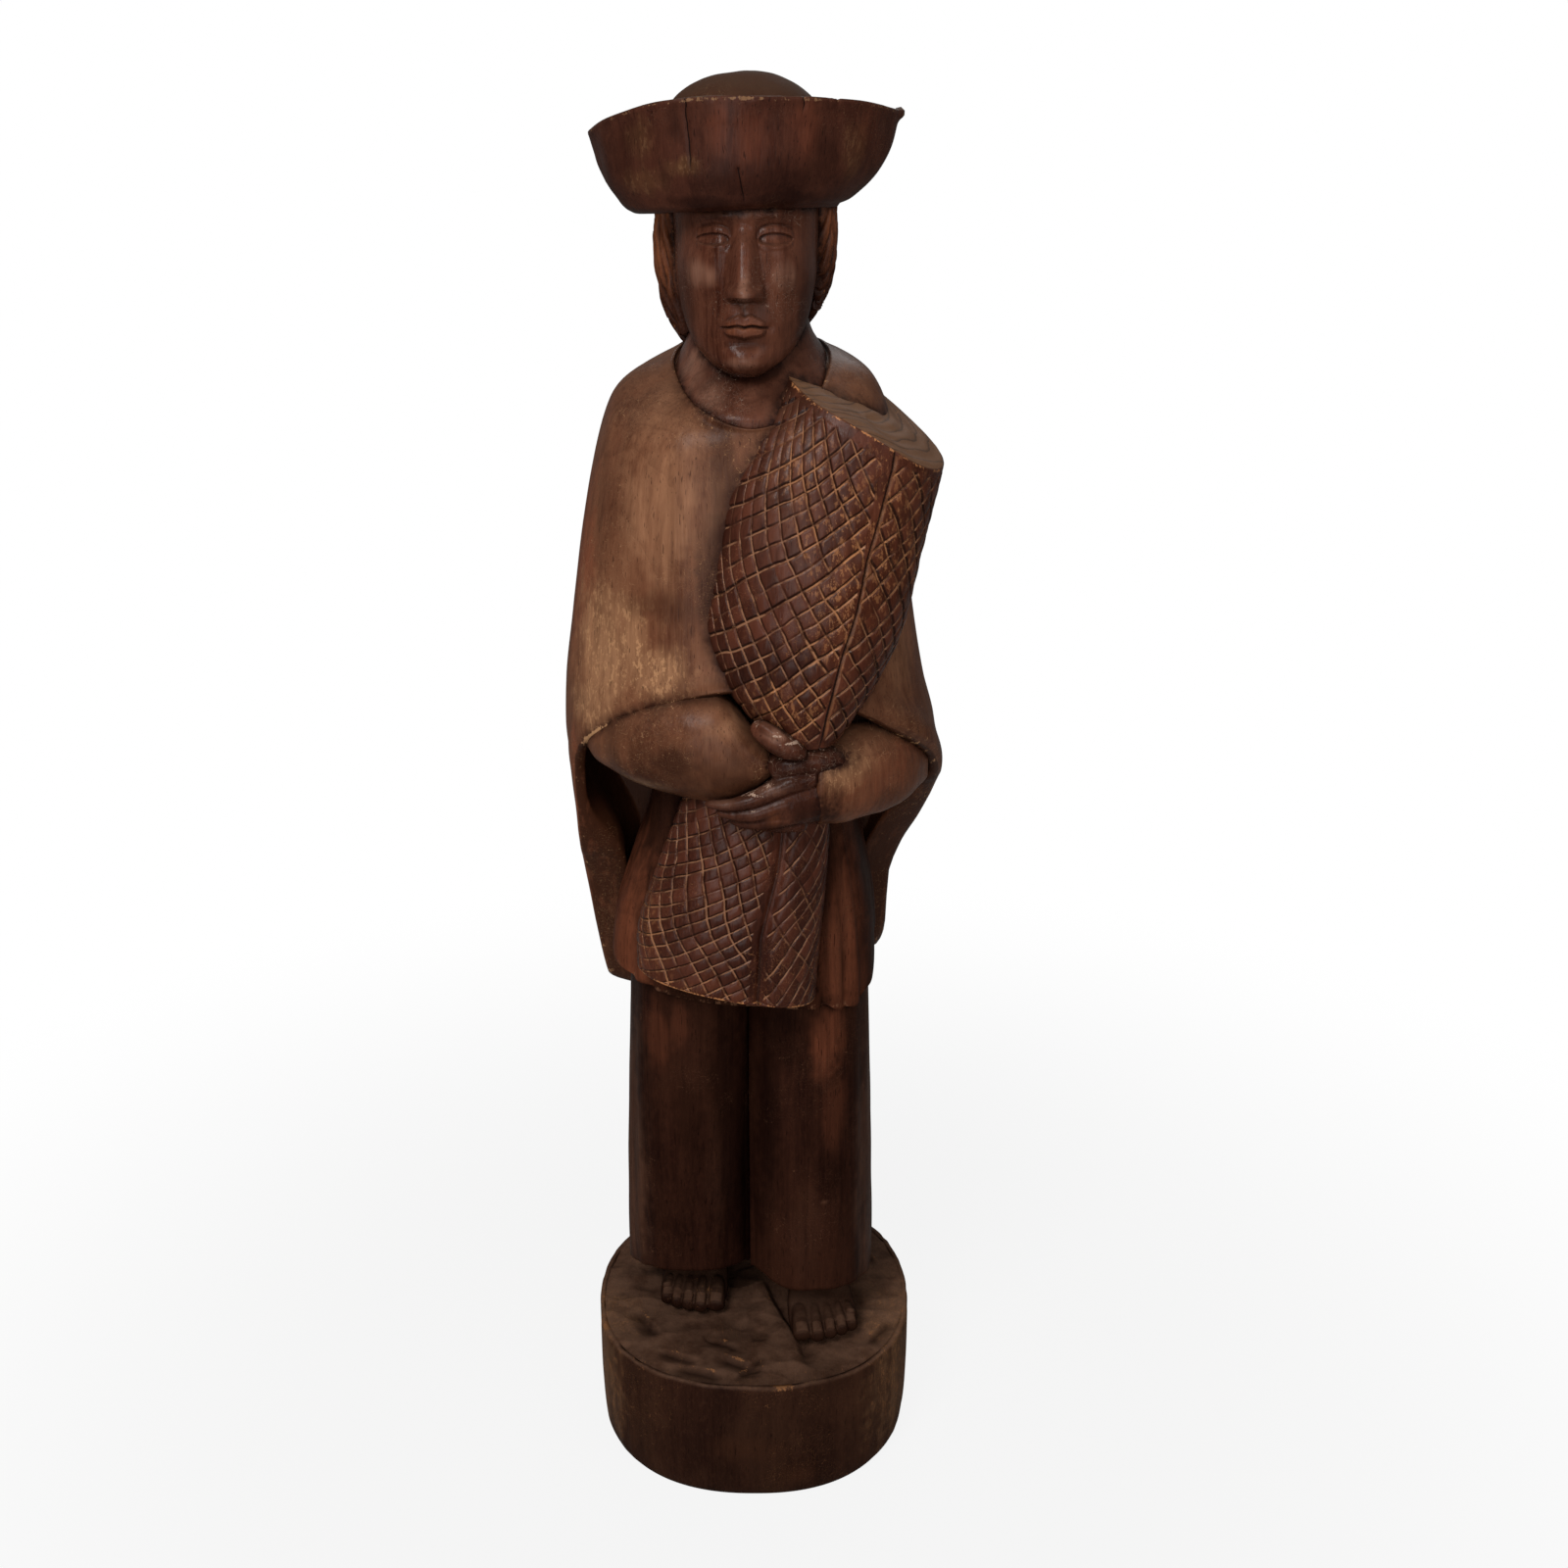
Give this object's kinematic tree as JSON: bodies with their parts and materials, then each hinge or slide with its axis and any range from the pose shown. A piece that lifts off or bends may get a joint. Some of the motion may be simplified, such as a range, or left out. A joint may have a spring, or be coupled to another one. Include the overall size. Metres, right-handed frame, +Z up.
{
  "type": "carved wooden figure",
  "caption": "Standing folk figure carved in dark wood: hat, poncho, tunic, wide trousers and bare feet, hugging a rolled woven mat, on a round log base",
  "frame": {"origin": "on the flat underside of the log base, under the figure's middle", "axes": "+Z up the log and the figure's height, -Y the way the figure faces, +X towards the figure's left hand"},
  "size_m": [0.2392, 0.243, 0.9199],
  "materials": {
    "plinth_wood": "rough-chiselled, worn dark wax",
    "trouser_wood": "waxed, tool marks left",
    "poncho_wood": "waxed, worn lighter on the elbow and the hem",
    "mat_wood": "waxed, with paler cut grooves",
    "skin_wood": "polished wax",
    "hair_wood": "waxed, cut in strands",
    "hat_wood": "waxed, worn and cracked at the rim"
  },
  "bodies": {
    "root": {"base": "plinth_wood", "foot_right": "plinth_wood", "foot_left": "plinth_wood", "trouser_leg_right": "trouser_wood", "trouser_leg_left": "trouser_wood", "tunic": "trouser_wood", "poncho": "poncho_wood", "sleeve_right": "poncho_wood", "sleeve_left": "poncho_wood", "mat_roll_upper": "mat_wood", "mat_roll_lower": "mat_wood", "hand_right": "skin_wood", "hand_left": "skin_wood", "neck": "skin_wood", "head": "skin_wood", "hair": "hair_wood", "hat": "hat_wood"}
  },
  "joints": []
}
